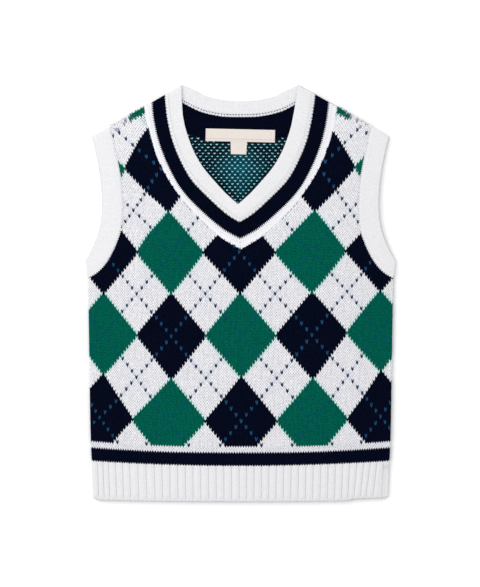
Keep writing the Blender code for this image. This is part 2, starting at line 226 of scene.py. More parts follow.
def addBakeMap(piece):
    # a map laid on flat from above, the downward faces beside the upward ones, kept for the export's pictures
    mesh = piece.data
    count = len(mesh.loops)
    index = np.empty(count, np.int32)
    mesh.loops.foreach_get("vertex_index", index)
    places = np.empty(len(mesh.vertices) * 3, np.float32)
    mesh.vertices.foreach_get("co", places)
    places = places.reshape(-1, 3)
    low, size = places.min(0), np.maximum(np.ptp(places, axis=0), 1e-6)
    flat = (places[index, :2] - low[:2]) / size[:2]
    normals = np.empty(len(mesh.polygons) * 3, np.float32)
    mesh.polygons.foreach_get("normal", normals)
    totals = np.empty(len(mesh.polygons), np.int32)
    mesh.polygons.foreach_get("loop_total", totals)
    down = np.repeat(normals.reshape(-1, 3)[:, 2] < 0, totals)
    across = size[0] >= size[1]
    shrunk = 0.01 + 0.98 * flat
    shrunk[:, 1 if across else 0] = shrunk[:, 1 if across else 0] * 0.49 + np.where(down, 0.505, 0.0)
    layer = mesh.uv_layers.new(name="OFBake", do_init=False)
    layer.uv.foreach_set("vector", shrunk.astype(np.float32).ravel())


def linkPiece(name, mesh):
    piece = bpy.data.objects.new(name, mesh)
    bpy.context.collection.objects.link(piece)
    return piece


def gridFaces(shape):
    index = np.arange(shape[0] * shape[1]).reshape(shape).tolist()
    return [
        (index[i][j], index[i + 1][j], index[i + 1][j + 1], index[i][j + 1])
        for i in range(shape[0] - 1) for j in range(shape[1] - 1)
    ]


def closedSheet(name, x, h, top, low, faces, chart, materials, lowMaterial=0):
    # one closed wall: an upper face, the same grid below it, and a rim wherever a face has no neighbour.
    # chart is each point's stitch and course.
    count = len(x)
    edges = {}
    for face in faces:
        for a, b in zip(face, (*face[1:], face[0])):
            edges.setdefault((min(a, b), max(a, b)), []).append((a, b))
    rim = [pairs[0] for pairs in edges.values() if len(pairs) == 1]
    allFaces = [*faces, *(tuple(v + count for v in reversed(face)) for face in faces)]
    allFaces += [(b, a, a + count, b + count) for a, b in rim]
    points = np.concatenate([stacked(x, h, top), stacked(x, h, low)])
    mesh = bpy.data.meshes.new(name)
    mesh.from_pydata(toMetres(points).tolist(), [], allFaces)
    for material in materials:
        mesh.materials.append(material)
    mesh.polygons.foreach_set("use_smooth", [True] * len(allFaces))
    slots = [0] * len(faces) + [lowMaterial] * len(faces) + [0] * len(rim)
    mesh.polygons.foreach_set("material_index", slots)
    body = bmesh.new()
    body.from_mesh(mesh)
    bmesh.ops.recalc_face_normals(body, faces=body.faces)
    body.to_mesh(mesh)
    body.free()
    mesh.set_sharp_from_angle(angle=math.radians(55))
    charted = np.tile(stacked(*chart), (2, 1))
    index = np.empty(len(mesh.loops), np.int32)
    mesh.loops.foreach_get("vertex_index", index)
    layer = mesh.uv_layers.new(name="stitches", do_init=False)
    layer.uv.foreach_set("vector", charted[index].astype(np.float32).ravel())
    sheet = linkPiece(name, mesh)
    addBakeMap(sheet)
    return sheet


def newMaterial(name, gloss):
    material = bpy.data.materials.new(name)
    material.use_nodes = True
    tree = material.node_tree
    shader = tree.nodes["Principled BSDF"]
    shader.inputs["Specular IOR Level"].default_value = gloss
    return material, tree, shader


def noise(tree, size, detail, roughness=0.5):
    # patches of a size in mm
    place = addNode(tree, "ShaderNodeTexCoord").outputs["Object"]
    settings = {"Vector": place, "Scale": 1 / (size * mm), "Detail": detail, "Roughness": roughness}
    return addNode(tree, "ShaderNodeTexNoise", settings).outputs["Fac"]


def ranged(tree, value, start=0.0, end=1.0, low=0.0, high=1.0):
    # low where the value is at start, up to high where it is at end
    settings = {"Value": value, "From Min": start, "From Max": end, "To Min": low, "To Max": high}
    return addNode(tree, "ShaderNodeMapRange", settings).outputs["Result"]


def addRelief(tree, shader, height, strength, depth):
    # depth in mm
    relief = addNode(tree, "ShaderNodeBump", {"Height": height, "Strength": strength, "Distance": depth * mm})
    tree.links.new(relief.outputs["Normal"], shader.inputs["Normal"])


def clothMaterial(name, shades, speckle=1.5, roughness=0.92, fuzz=0.35, bump=0.25, gloss=0.03, ground=None):
    # matt cotton yarn. shades are its dark and its light, or ground gives its colour. speckle is the size of
    # its patches and fuzz that of its fibre tufts, mm.
    material, tree, shader = newMaterial(name, gloss)
    spread = ranged(tree, noise(tree, speckle, 2.0), 0.3, 0.7)
    colour = ground(tree, spread) if ground else blend(tree, spread, *shades)
    tree.links.new(colour, shader.inputs["Base Color"])
    tufts = noise(tree, fuzz, 3.0, 0.65)
    rough = ranged(tree, tufts, low=roughness - 0.12, high=min(roughness + 0.08, 1.0))
    tree.links.new(rough, shader.inputs["Roughness"])
    addRelief(tree, shader, tufts, bump, 0.3)
    return material


argyleColours = dict(
    white=("#EDECF0", "#FFFFFF"), navy=("#03081B", "#09112B"), green=("#006050", "#007562"),
    dotOnWhite=("#1E2945", "#303E5E"), dotOnNavy=("#173C60", "#245683"), dotOnGreen=("#054960", "#0A5A72"),
    faintDot=("#8E95AC", "#A9B0C2"), hemWhite=("#E8E8ED", "#F9F9FC"),
    whiteByDot=("#CCD9EC", "#E9F0FA"), whiteByGreen=("#C9EBE7", "#E6FBF8"),  # with the other yarn behind it
    # the grounds, seen between the stitches, are darker copies of their yarns: painted shade in the gaps; the
    # white's grey is partly the dark yarn behind it showing through and partly painted shade
    whiteGround=("#9C9DA7", "#BABBC3"), navyGround=("#010208", "#040816"), greenGround=("#003A30", "#005246"),
)
argyleYarns = (
    "white", "whiteByDot", "whiteByGreen", "hemWhite", "navy", "green",
    "dotOnWhite", "dotOnNavy", "dotOnGreen", "faintDot",
)
# whiteBacking is a little darker than the rib and stripe yarns: painted shade between their stitches
bandColours = dict(
    rib=("#D6D6D9", "#DFDFE1"), stripe=("#DDDDE2", "#E6E6EB"), whiteBacking=("#D0D0D3", "#DADADD"))


def blend(tree, factor, first, second):
    # each end is a socket or a hex colour
    a, b = (end if isinstance(end, bpy.types.NodeSocket) else linear(end) for end in (first, second))
    mixed = addNode(tree, "ShaderNodeMix", {"Factor": factor, "A": a, "B": b}, data_type="RGBA")
    return mixed.outputs["Result"]


def stitchCount(tree):
    chart = addNode(tree, "ShaderNodeUVMap", uv_map="stitches").outputs["UV"]
    return addNode(tree, "ShaderNodeSeparateXYZ", {"Vector": chart}).outputs


def pointedCourse(tree, across, up, reach):
    # the course at a place, where each stitch's foot reaches down into the course below it and its tops up
    off = calc(tree, "SUBTRACT", across, calc(tree, "ROUND", across))
    size = calc(tree, "ABSOLUTE", off)
    slide = calc(tree, "MULTIPLY_ADD", size, -4 * reach, reach)
    return calc(tree, "ADD", up, slide)


def stripeGround(tree, spread):
    # navy next to the rib and white beyond, by the course, both darker than their yarns as painted shade
    # between the stitches
    across, up, _ = stitchCount(tree)
    shifted = calc(tree, "SUBTRACT", across, 0.5)
    course = pointedCourse(tree, shifted, up, -0.3)
    beyond = calc(tree, "GREATER_THAN", course, neckStripes["navyCourses"])
    navy = blend(tree, spread, *argyleColours["navyGround"])
    return blend(tree, beyond, navy, blend(tree, spread, *bandColours["whiteBacking"]))


def diamondReach(tree, places):
    # how far a place is from the middle of its diamond, which ends at a half, and that diamond's numbers
    near, index = [], []
    for socket in places:
        part = calc(tree, "DIVIDE", socket, 2 * argyle["half"])
        number = calc(tree, "ROUND", part)
        off = calc(tree, "SUBTRACT", part, number)
        near.append(calc(tree, "ABSOLUTE", off))
        index.append(number)
    return calc(tree, "ADD", near[0], near[1]), index


def reverseGroundPaintedShade(tree, spread):
    # teal loose yarn behind the knit, darkened from a diamond's middle towards its rim as painted shade of
    # the front's neck edge on the back
    reach, _ = diamondReach(tree, stitchCount(tree)[:2])
    middle, rim = (blend(tree, spread, *reverse[key]) for key in ("middle", "rim"))
    return blend(tree, ranged(tree, reach, 0.05, 0.42), middle, rim)


def argyleGround(tree, spread):
    # the colour between the stitches, each a darker copy of the yarn above it as painted shade in the gaps:
    # the diamonds that the stitches show, worked out from the stitch count
    across, course, _ = stitchCount(tree)
    up = pointedCourse(tree, across, course, 0.3)
    whole = 2 * argyle["half"]
    reach, index = diamondReach(tree, (calc(tree, "ROUND", across), calc(tree, "ROUND", up)))
    inDiamond = calc(tree, "LESS_THAN", reach, 0.5 + 0.4 / whole)
    both = calc(tree, "ADD", index[0], index[1])
    odd = calc(tree, "FLOORED_MODULO", both, 2.0)
    aboveHem = calc(tree, "GREATER_THAN", up, argyle["hemStripes"][0])
    onBand = calc(tree, "LESS_THAN", up, argyle["hemStripes"][1])
    shades = (argyleColours[f"{key}Ground"] for key in ("white", "navy", "green"))
    white, navy, green = (blend(tree, spread, *pair) for pair in shades)
    body = blend(tree, inDiamond, white, blend(tree, odd, navy, green))
    return blend(tree, aboveHem, blend(tree, onBand, white, navy), body)


# The argyle, from stitches and courses to millimetres and back
argyle = dict(
    half=14,  # stitches and courses in half a diamond
    columns=((0, 0.0), (1, 34.9), (2, 70.5), (3, 105.3), (4, 138.4), (5, 171.5)),  # half diamonds across, mm
    courses=(  # course number, and its height on the centre line
        (-74.5, 24.3), (-70.5, 36.55), (-66.5, 48.8), (-64.5, 54.9), (-56, 80.5), (-42, 124.4), (-28, 165.9),
        (-14, 208.0), (0, 248.4), (14, 289.4), (28, 332.9), (42, 374.9), (56, 416.0), (63, 436.5),
    ),
    # by height, mm: how much wider it is drawn, and how far it sways to the right, in all and at each side
    spread=((0, 2.3), (71, 2.3), (101, 1.5), (131, 0.9), (161, 0.0), (249.4, 0.0), (290.4, 3.5), (334.4, 8.0),
            (377.4, 18.0), (420.0, 29.0)),
    sway=((71, 0.3), (101, 1.0), (131, 0.7), (161, 0.2), (191, -0.1), (221, -0.7), (251, -1.5), (281, -0.8),
          (311, 0.0)),
    leftSway=((71, -1.3), (101, 0.5), (131, 1.9), (161, 1.3), (191, 1.2), (221, 2.3), (251, 3.4), (281, 3.2),
              (296, 2.2), (311, 0.1), (341, -1.8), (371, -2.4)),
    rightSway=((71, -1.8), (101, -0.6), (131, 0.1), (161, 0.9), (191, 1.2), (221, 2.1), (251, 1.2),
               (281, 0.8), (311, 0.9), (341, -0.4), (371, -2.5)),
    nearSpread=((215, 0.0), (248, 1.2), (285, 1.0), (300, 0.0)), nearReach=0.6,  # of the middle diamond alone
    mostSpread=1.17,  # the share of the spread that is reached at the sides
    # by height, mm: how far it is drawn up, in the middle, at the left, by the left arm, at the right and at
    # both sides, and how far it dips between the middle and the sides
    centreLift=((221, 0.0), (251, 1.3), (285, 0.0)),
    leftLift=((71, 0.0), (101, -3.0), (131, -1.8), (161, 0.0)),
    armLift=((241, 0.0), (266, 3.6), (281, 2.2), (291, 1.9), (301, 0.0), (308, -0.8), (325, 0.0)),
    rightLift=((100, 0.0), (131, 1.0), (161, 2.4), (191, 3.0), (221, 1.7), (251, 2.0), (281, 2.0), (311, 1.0),
               (341, 1.5), (371, 3.0)),
    sideLift=((0, 5.0), (36.4, 5.0), (80.5, 4.8), (124.4, 5.2), (165.9, 1.5), (208, 0), (500, 0)),
    middleDip=((0, 0), (36.4, 0.0), (80.5, 1.0), (124.4, 2.5), (165.9, 0.6), (208, 0), (500, 0)),
    sideSettles=88.0, sideWidth=140.0, centreReach=45, dipAt=71, dipReach=35,  # mm
    liftReach=dict(rightLift=(40, 70), leftLift=(90, 50), armLift=(70, 25)), swayReach=(30, 60),
    hemStripes=(-64.5, -66.5),  # courses below which the white stripe, then the navy one, is knitted
)


def tableAt(key, value):
    return tableValue(value, argyle[key])


def courseLift(x, h):
    # each lift grows between two places to the side, mm from the middle, or is highest at one
    low = np.clip((h - cloth["hemTop"]) / argyle["sideSettles"], 0.0, 1.0)
    side = (1 - low) * (x / cloth["hemTopWidth"]) ** 2 + low * (x / argyle["sideWidth"]) ** 4
    lift = tableAt("sideLift", h) * side
    for key, across in (("rightLift", x), ("leftLift", -x), ("armLift", -x)):
        start, reach = argyle["liftReach"][key]
        lift = lift + tableAt(key, h) * smooth((across - start) / reach)
    lift = lift + tableAt("centreLift", h) * np.exp(-((x / argyle["centreReach"]) ** 2))
    return lift - tableAt("middleDip", h) * np.exp(-((np.abs(x) - argyle["dipAt"]) / argyle["dipReach"]) ** 2)


def columnPlace(c, h):
    # how far from the middle a place is, c half diamonds out
    c = np.abs(c)
    near = tableAt("nearSpread", h) * np.exp(-(((c - 1) / argyle["nearReach"]) ** 2)) * smooth(2 * c)
    return tableAt("columns", c) + tableAt("spread", h) * np.minimum(c / 2, argyle["mostSpread"]) + near


def sway(x, h):
    # x is measured before the sway, from the argyle's own middle
    start, reach = argyle["swayReach"]
    left, right = smooth((-x - start) / reach), smooth((x - start) / reach)
    return tableAt("sway", h) + tableAt("leftSway", h) * left + tableAt("rightSway", h) * right


def argylePlace(u, v):
    h = tableAt("courses", v)
    x = np.sign(u) * columnPlace(u / argyle["half"], h)
    x = x + sway(x, h)
    return x, h + courseLift(x, h)


def argyleChart(x, h):
    # the stitch and course at a place, found by closing in on them
    level = h.copy()
    for _ in range(8):
        level = h - courseLift(x, level)
    courses = np.array(argyle["courses"])
    v = np.interp(level, courses[:, 1], courses[:, 0])
    still = x.copy()
    for _ in range(8):
        still = x - sway(still, level)
    x = still
    low, high = np.zeros_like(x), np.full_like(x, 5.0)
    for _ in range(30):
        middle = (low + high) / 2
        short = columnPlace(middle, level) < np.abs(x)
        low, high = np.where(short, middle, low), np.where(short, high, middle)
    return np.sign(x) * low * argyle["half"], v


def diamondAt(u, v):
    # whether each stitch is in a coloured diamond, and whether that one is navy
    half, whole = argyle["half"], 2 * argyle["half"]
    i, r = np.round(u / whole), np.round(v / whole)
    return np.abs(u - whole * i) + np.abs(v - whole * r) <= half, (i + r) % 2 == 0


def yarnAt(u, v):
    # the yarn of each stitch of the argyle
    whole = 2 * argyle["half"]
    coloured, navy = diamondAt(u, v)
    onCross = ((u + v) % whole == 0) | ((u - v) % whole == 0)
    dotted = onCross & (u % 2 == 0)
    byGreen = np.zeros_like(coloured)
    for a, b in ((-1, 0), (1, 0), (0, -1), (0, 1)):
        besideColoured, besideNavy = diamondAt(u + a, v + b)
        byGreen |= besideColoured & ~besideNavy
    yarn = np.where(coloured, np.where(navy, "navy", "green"), np.where(byGreen, "whiteByGreen", "white"))
    dots = np.where(coloured, np.where(navy, "dotOnNavy", "dotOnGreen"), "dotOnWhite")
    yarn = np.where(onCross & ~coloured, "whiteByDot", yarn)
    yarn = np.where(dotted, dots, yarn)
    top, bottom = argyle["hemStripes"]
    return np.where(v < bottom, "navy", np.where(v < top, "hemWhite", yarn))


# A knit stitch. leg is its right half, from its foot to its top: across and up, in stitches and courses, as
# halfWidth is. The others are mm above and below the cloth.
stitchShape = dict(
    leg=((0.03, -0.90), (0.14, -0.36), (0.36, 0.36), (0.47, 0.84)),
    halfWidth=0.2, ridge=0.55, foot=-0.02, top=-0.4, skirt=-0.25,
)
dotShape = dict(
    stitchShape, leg=((0.02, -0.95), (0.15, -0.4), (0.33, 0.38), (0.45, 0.9)), halfWidth=0.31, ridge=0.7)
# smoother and wider, on the ribs
ribShape = dict(
    leg=((0.06, -0.90), (0.18, -0.36), (0.27, 0.36), (0.35, 0.84)),
    halfWidth=0.23, ridge=0.06, foot=-0.03, top=-0.05, skirt=-0.04,
)


def legPoints(side, shape):
    (x0, y0), (x1, y1), (x2, y2), (x3, y3) = shape["leg"]
    w = shape["halfWidth"]
    points = [(side * x0, y0, shape["foot"])]
    for x, y in ((x1, y1), (x2, y2)):
        points += [
            (side * (x + w), y - w * 0.3, shape["skirt"]), (side * x, y, shape["ridge"]),
            (side * (x - w), y + w * 0.3, shape["skirt"]),
        ]
    return [*points, (side * x3, y3, shape["top"])]  # tucked under the stitch above


def plainLegPoints(side, shape):
    # the same leg with one ring of points, for the side it lies on
    full = legPoints(side, shape)
    middle = [tuple((a + b) / 2 for a, b in zip(full[k], full[k + 3])) for k in (1, 2, 3)]
    return [full[0], *middle, full[7]]


def templateMesh(name, parts, creased=False):
    # creased keeps the sides of a low stitch from shading its top
    mesh = bpy.data.meshes.new(name)
    twoRings = (
        (0, 1, 2), (0, 2, 3), (0, 3, 1), (1, 4, 5, 2), (2, 5, 6, 3), (3, 6, 4, 1),
        (7, 5, 4), (7, 6, 5), (7, 4, 6),
    )
    oneRing = ((0, 1, 2), (0, 2, 3), (0, 3, 1), (4, 2, 1), (4, 3, 2), (4, 1, 3))
    points, faces = [], []
    for part in parts:
        k = len(points)
        points += part
        faces += [tuple(k + v for v in face) for face in (twoRings if len(part) == 8 else oneRing)]
    mesh.from_pydata(points, [], faces)
    body = bmesh.new()
    body.from_mesh(mesh)
    bmesh.ops.triangulate(body, faces=[f for f in body.faces if len(f.verts) > 3])
    bmesh.ops.recalc_face_normals(body, faces=body.faces)
    body.to_mesh(mesh)
    body.free()
    mesh.polygons.foreach_set("use_smooth", [True] * len(mesh.polygons))
    if creased:
        mesh.set_sharp_from_angle(angle=math.radians(50))
    return linkPiece(name, mesh)


def fleckPoints():
    # a purl bump: a short bar that turns up at both ends
    return [
        (-0.54, 0.40, -0.15),
        (-0.22, -0.28, -0.2), (-0.22, -0.02, 0.42), (-0.18, 0.28, -0.2),
        (0.22, -0.28, -0.2), (0.22, -0.02, 0.42), (0.18, 0.28, -0.2),
        (0.54, 0.40, -0.15),
    ]


def stitchTree():
    # sets one stitch on each point, turned to the cloth and sized to its cell
    tree = bpy.data.node_groups.new("knitting", "GeometryNodeTree")
    for name, kind in (
        ("Cloth", "NodeSocketGeometry"), ("Stitch", "NodeSocketObject"), ("Yarn", "NodeSocketMaterial"),
        ("Size Change", "NodeSocketFloat"), ("Lean", "NodeSocketFloat"), ("Seed", "NodeSocketInt"),
    ):
        tree.interface.new_socket(name, in_out="INPUT", socket_type=kind)
    tree.interface.new_socket("Stitches", in_out="OUTPUT", socket_type="NodeSocketGeometry")
    given = addNode(tree, "NodeGroupInput").outputs

    def attribute(name):
        named = addNode(tree, "GeometryNodeInputNamedAttribute", {"Name": name}, data_type="FLOAT_VECTOR")
        return named.outputs["Attribute"]

    def between(low, high):
        return addNode(tree, "FunctionNodeRandomValue", {2: low, 3: high, "Seed": given["Seed"]}).outputs[1]

    less, more = (calc(tree, step, 1.0, given["Size Change"]) for step in ("SUBTRACT", "ADD"))
    settings = {0: attribute("size"), "Scale": between(less, more)}
    size = addNode(tree, "ShaderNodeVectorMath", settings, operation="SCALE")
    settings = {"Primary Axis": attribute("wale"), "Secondary Axis": attribute("outward")}
    turned = addNode(tree, "FunctionNodeAxesToRotation", settings, primary_axis="Y", secondary_axis="Z")
    lean = between(calc(tree, "MULTIPLY", given["Lean"], -1.0), given["Lean"])
    turn = addNode(tree, "ShaderNodeCombineXYZ", {"Z": lean})
    swing = addNode(tree, "FunctionNodeEulerToRotation", {"Euler": turn.outputs[0]})
    leaning = addNode(tree, "FunctionNodeRotateRotation", {
        "Rotation": turned.outputs[0], "Rotate By": swing.outputs[0]}, rotation_space="LOCAL")
    shape = addNode(tree, "GeometryNodeObjectInfo", {"Object": given["Stitch"]})
    placed = addNode(tree, "GeometryNodeInstanceOnPoints", {
        "Points": given["Cloth"], "Instance": shape.outputs["Geometry"],
        "Rotation": leaning.outputs[0], "Scale": size.outputs[0]})
    real = addNode(tree, "GeometryNodeRealizeInstances", {"Geometry": placed.outputs[0]})
    done = addNode(tree, "GeometryNodeSetMaterial", {"Geometry": real.outputs[0], "Material": given["Yarn"]})
    addNode(tree, "NodeGroupOutput", {"Stitches": done.outputs[0]})
    return tree


def knit(name, surface, cells, template, yarn, facing=1, sizeChange=0.05, lean=0.05, seed=1, tilt=1.0):
    # cells are u, v and the cell's width and height, in the surface's own counts, each a column of values or
    # one for all. tilt is how much of the cloth's slope the stitches take on.
    u, v, wide, tall = np.broadcast_arrays(*(np.asarray(column, float) for column in cells))
    place = surface(u, v)
    across = surface(u + wide / 2, v) - surface(u - wide / 2, v)
    up = surface(u, v + tall / 2) - surface(u, v - tall / 2)
    across[:, 2] *= tilt
    up[:, 2] *= tilt
    outward = np.cross(across, up)
    outward *= facing * np.sign(outward[:, 2:3]) / np.linalg.norm(outward, axis=1)[:, None]
    mesh = bpy.data.meshes.new(name)
    mesh.vertices.add(len(place))
    mesh.vertices.foreach_set("co", toMetres(place).ravel())
    size = stacked(np.linalg.norm(across, axis=1), np.linalg.norm(up, axis=1), np.ones(len(u))) * mm
    for key, values in (("wale", up), ("outward", outward), ("size", size)):
        attribute = mesh.attributes.new(key, "FLOAT_VECTOR", "POINT")
        attribute.data.foreach_set("vector", values.astype(np.float32).ravel())
    piece = linkPiece(name, mesh)
    modifier = piece.modifiers.new("knitting", "NODES")
    modifier.node_group = knitting
    inputs = {item.name: item.identifier for item in knitting.interface.items_tree if item.in_out == "INPUT"}
    for key, value in (
        ("Stitch", template), ("Yarn", yarn), ("Size Change", sizeChange), ("Lean", lean), ("Seed", seed),
    ):
        modifier[inputs[key]] = value
    bpy.context.view_layer.update()
    ready = piece.evaluated_get(bpy.context.evaluated_depsgraph_get())
    made = bpy.data.meshes.new_from_object(ready)
    piece.modifiers.clear()
    piece.data = made
    made.name = name
    bpy.data.meshes.remove(mesh)
    addBakeMap(piece)
    return piece


def fastened(pieces):
    for piece in pieces:
        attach(piece, "root")


def declareSheet(made, node):
    # made is a piece of cloth that stands for a CAD node, and the stitches that go with it
    sheet, stitches = made
    fastened((sheet, *stitches))
    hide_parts(node)
    print(f"{node}: {1 + len(stitches)} pieces")


knitting = stitchTree()
knitStitch = templateMesh("knitStitch", [legPoints(-1, stitchShape), legPoints(1, stitchShape)])
plainStitch = templateMesh("plainStitch", [plainLegPoints(-1, stitchShape), plainLegPoints(1, stitchShape)])
dotStitch = templateMesh("dotStitch", [legPoints(-1, dotShape), legPoints(1, dotShape)])
ribStitch = templateMesh("ribStitch", [legPoints(-1, ribShape), legPoints(1, ribShape)], creased=True)
fleckStitch = templateMesh("fleckStitch", [fleckPoints()])

yarns = {
    key: clothMaterial(f"{key}CottonYarn", argyleColours[key], bump=0.35) for key in argyleYarns
}
# white rib yarn: the same cotton, cleaner because no dark yarn runs behind it
yarns["rib"] = clothMaterial("whiteRibYarn", bandColours["rib"], bump=0.2)
yarns["stripe"] = clothMaterial("whiteStripeYarn", bandColours["stripe"], bump=0.2)
# backings between the stitches, in colours darker than their yarns: painted shade in the gaps
groundCloth = clothMaterial("argyleBacking", None, ground=argyleGround)
whiteBacking = clothMaterial("whiteRibBacking", bandColours["whiteBacking"], bump=0.2)
navyBacking = clothMaterial("navyBacking", argyleColours["navyGround"])
print("yarns and stitches ready")

stitchDepth = 0.45  # how far the backing lies below the stitches' tops, mm
ribDepth = 0.07  # the same on the ribs


def halfCurves(neckRows):
    seams = dict(
        neck=splineTable([row[4:] for row in neckRows])[0],
        arm=splineTable([row[2:] for row in armhole])[0],
        side=splineTable(sideEdge)[0],
    )
    seams["shoulder"] = np.array([seams["arm"][-1], seams["neck"][-1]])
    edge = np.linspace(0, cloth["hemTopWidth"], 40)
    seams["hem"] = stacked(edge, hemRibTop(edge))
    return seams


def panelOutline(seams):
    right = np.concatenate([seams["hem"], seams["side"], seams["arm"], seams["neck"][::-1]])
    return np.concatenate([right, right[::-1] * (-1, 1)])


def panelShare(seams, x, h, folds=("side", "shoulder"), dips=("arm", "neck", "hem")):
    ax = np.abs(x)
    share = np.ones_like(ax)
    for key in folds:
        share = np.minimum(share, foldShare(polylineDistance(ax, h, seams[key])))
    for key in dips:
        share = np.minimum(share, seamShare(polylineDistance(ax, h, seams[key])))
    return share


def pushed(points, distance):
    # the curve moved sideways, away from the neck opening or from the armhole
    run = np.gradient(points, axis=0)
    size = np.hypot(*run.T)
    moved = points + distance * stacked(run[:, 1] / size, -run[:, 0] / size)
    centre = points[:, 0] == 0.0
    moved[centre] = points[centre] - stacked(0 * size, distance * size / run[:, 0])[centre]
    return moved


panels = dict(
    # rows of faces below the underarm, beside the armhole and, of those, below the neck, faces across a half,
    # and over how many rows those above the neck's middle straighten
    front=dict(lowerRows=34, armholeRows=40, rowsBelowNeck=8, across=26, settle=1),
    back=dict(lowerRows=30, armholeRows=40, rowsBelowNeck=26, across=22, settle=8),
    firstColumn=1.6, edgeColumns=(5.0, 3.0, 1.6, 0.7, 0.0),  # mm from the inner and the outer end of a row
    columns=(-64, 64), courses=(-70, 60),  # that the stitches are looked for in
    insets=dict(shoulder=0.2, arm=0.25, neck=0.25), narrowest=0.35,  # mm from a seam, the narrowest stitch
    # the navy course that joins the body to the hem: its height in courses, mm up and mm short of the corners
    hemJoin=dict(columns=59, course=-70.45, tall=0.75, rise=0.3, inset=0.9),
)


def panelRows(neckRows, spec):
    # each row of half a panel: its inner end, its outer end, and how bent it is, so that it starts out level
    below, beside = spec["rowsBelowNeck"], spec["armholeRows"]
    sides = atShares(splineTable(sideEdge), np.arange(spec["lowerRows"]) / spec["lowerRows"])
    share = (sides[:, 1] - sides[0, 1]) / (sideEdge[-1][1] - sides[0, 1])
    rows = [
        ((0.0, cloth["hemTop"] + (cloth["underarm"] - cloth["hemTop"]) * s), tuple(end), 1.0)
        for s, end in zip(share, sides)
    ]
    armSeam = splineTable([row[2:] for row in armhole])
    neckSeam = splineTable([row[4:] for row in neckRows])
    outer = pushed(atShares(armSeam, np.linspace(0, 1, beside + 1)), -cloth["seamHalf"])
    inner = pushed(atShares(neckSeam, np.linspace(0, 1, beside - below + 1)), cloth["seamHalf"])
    for k, end in enumerate(outer):
        if k < below:
            start = (0.0, cloth["underarm"] + (inner[0][1] - cloth["underarm"]) * k / below)
        else:
            start = tuple(inner[k - below])
        rows.append((start, tuple(end), min(max(1 - (k - below) / spec["settle"], 0.0), 1.0)))
    return rows


def panelGrid(neckRows, spec):
    # places of both halves, merged on the centre line, and the faces between them
    rows, across, first = panelRows(neckRows, spec), spec["across"], panels["firstColumn"]
    places, faces = {}, []
    for side in (-1, 1):
        grid = []
        for k, (start, end, bend) in enumerate(rows):
            lift = 0.0 if k else cloth["seamHalf"]
            width = math.dist(start, end)
            far = width - panels["edgeColumns"][0]
            runs = [0.0, *(first + (far - first) * step / across for step in range(across))]
            runs += [width - c for c in panels["edgeColumns"]]
            line = []
            for run in runs:
                s = run / width
                x = start[0] + (end[0] - start[0]) * s
                h = start[1] + (end[1] - start[1]) * (s * s * bend + s * (1 - bend))
                key = (round(side * x, 4), round(h + lift, 4))
                line.append(places.setdefault(key, len(places)))
            grid.append(line)
        for a, b in zip(grid, grid[1:]):
            quads = [(a[j], a[j + 1], b[j + 1], b[j]) for j in range(len(a) - 1)]
            faces += quads if side > 0 else [tuple(reversed(q)) for q in quads]
    points = np.array(list(places))
    return points[:, 0], points[:, 1], faces


def stitchGrid(seams):
    # every stitch of the panel, close up to its seams: its column and course, its middle's place in columns
    # and its width. The last stitch before the side edge is narrower or wider, to end there.
    (left, right), (lowest, highest) = panels["columns"], panels["courses"]
    columns, courses = np.meshgrid(np.arange(left, right + 1), np.arange(lowest, highest + 1))
    u, v = columns.ravel().astype(float), courses.ravel().astype(float)
    x, h = argylePlace(u, v)
    edge = np.interp(h, seams["side"][:, 1], seams["side"][:, 0], right=2 * cloth["widest"])
    # from the stitch's inner side to the edge of the cloth, which has none beside the armholes
    room = np.abs(argyleChart(np.sign(x) * edge, h)[0]) - np.abs(u) + 0.5
    room = np.where(edge > cloth["widest"], panels["columns"][1], room)
    wide = np.where(room < 1 + panels["narrowest"], room, 1.0)
    at = np.sign(u) * (np.abs(u) - 0.5 + wide / 2)
    kept = (room >= panels["narrowest"]) & (insideLine(x, h, panelOutline(seams)) | (room < 1))
    for key, inset in panels["insets"].items():
        kept &= polylineDistance(np.abs(x), h, seams[key]) > inset
    return u[kept], v[kept], at[kept], wide[kept]


def knitArgyle(name, surface, at, v, wide, yarn, templates, seed, facing=1):
    # the stitches of each yarn as one piece, from the plain and the dots' template
    pieces = []
    for k, key in enumerate(argyleYarns):
        chosen = yarn == key
        if chosen.any():
            cells = (at[chosen], v[chosen], wide[chosen], 1.0)
            template = templates[key.startswith("dot")]
            pieces.append(knit(f"{name}.{key}", surface, cells, template, yarns[key], facing, seed=seed + k))
    return pieces


frontSeams = halfCurves(frontNeck)
backSeams = halfCurves(backNeck)


def frontSurface(u, v):
    x, h = argylePlace(u, v)
    z = standOff(x, h) + cloth["wall"] * panelShare(frontSeams, x, h)
    return stacked(x, h, z - stitchDepth)


# Where the back's cloth comes over the shoulder: how wide a strip shows, how far its green reaches, from what
# height the front has no green beside it, and the few navy stitches and half hidden ones on it, as x, h
shoulder = dict(
    strip=5.6, greenTo=111.0, noGreenFrom=368.0,
    dots=((-128.7, 365.4), (125.3, 369.4)),
    faintDots=((-125.7, 371.4), (-116.7, 376.9), (-114.4, 380.0), (-121.7, 372.6), (120.8, 374.9),
               (109.5, 383.0), (116.3, 379.4)),
)


def shoulderYarn(u, v, yarn):
    x, h = argylePlace(u, v)
    onStrip = shoulderDistance(x, h) < shoulder["strip"]
    outer = np.abs(x) > shoulder["greenTo"]
    beside = (h > shoulder["noGreenFrom"]) & ~outer & np.isin(yarn, ("green", "dotOnGreen"))
    yarn = np.where(beside, "white", yarn)
    yarn = np.where(onStrip, np.where(outer, "white", "green"), yarn)
    for key, name in (("dots", "dotOnWhite"), ("faintDots", "faintDot")):
        for dotX, dotH in shoulder[key]:
            yarn[np.argmin((x - dotX) ** 2 + (h - dotH) ** 2)] = name
    return yarn


